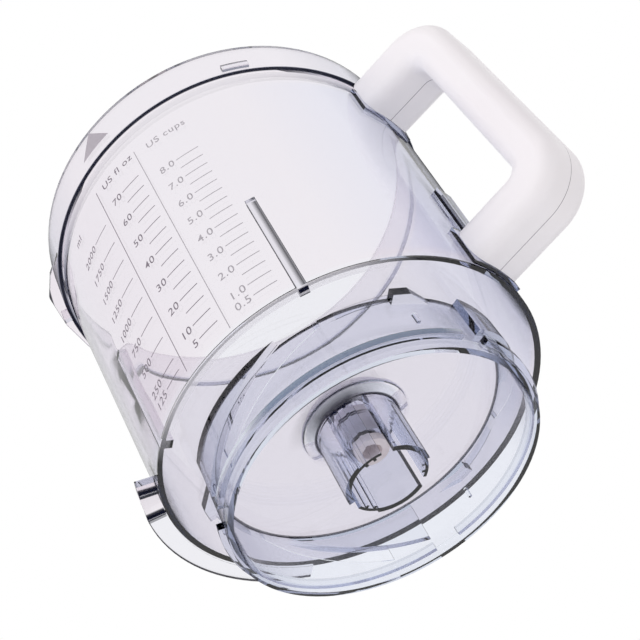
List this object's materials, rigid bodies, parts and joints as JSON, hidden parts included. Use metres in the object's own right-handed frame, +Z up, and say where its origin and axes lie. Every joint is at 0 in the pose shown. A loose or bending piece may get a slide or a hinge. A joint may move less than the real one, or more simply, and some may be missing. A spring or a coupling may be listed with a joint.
{
  "type": "food processor bowl",
  "caption": "Clear tapered bowl with a locking ring and drive hub under its floor, a collar for the lid, and a hollow loop handle on one side.",
  "frame": {"origin": "on the bowl's axis, at the foot of the ring that sits in the power unit", "axes": "+Z up the bowl's axis towards the lid, +X towards the handle"},
  "size_m": [0.2228, 0.1796, 0.1814],
  "materials": {
    "clear_plastic": "clear gloss",
    "handle_plastic": "gloss",
    "bush_plastic": "matte",
    "screw_steel": "zinc plated"
  },
  "bodies": {
    "root": {"bowl_moulding": "clear_plastic", "handle_half_left": "handle_plastic", "handle_half_right": "handle_plastic", "spindle_bush": "bush_plastic", "handle_screw_upper": "screw_steel", "handle_screw_lower": "screw_steel", "handle_screw_grip": "screw_steel"}
  },
  "joints": []
}
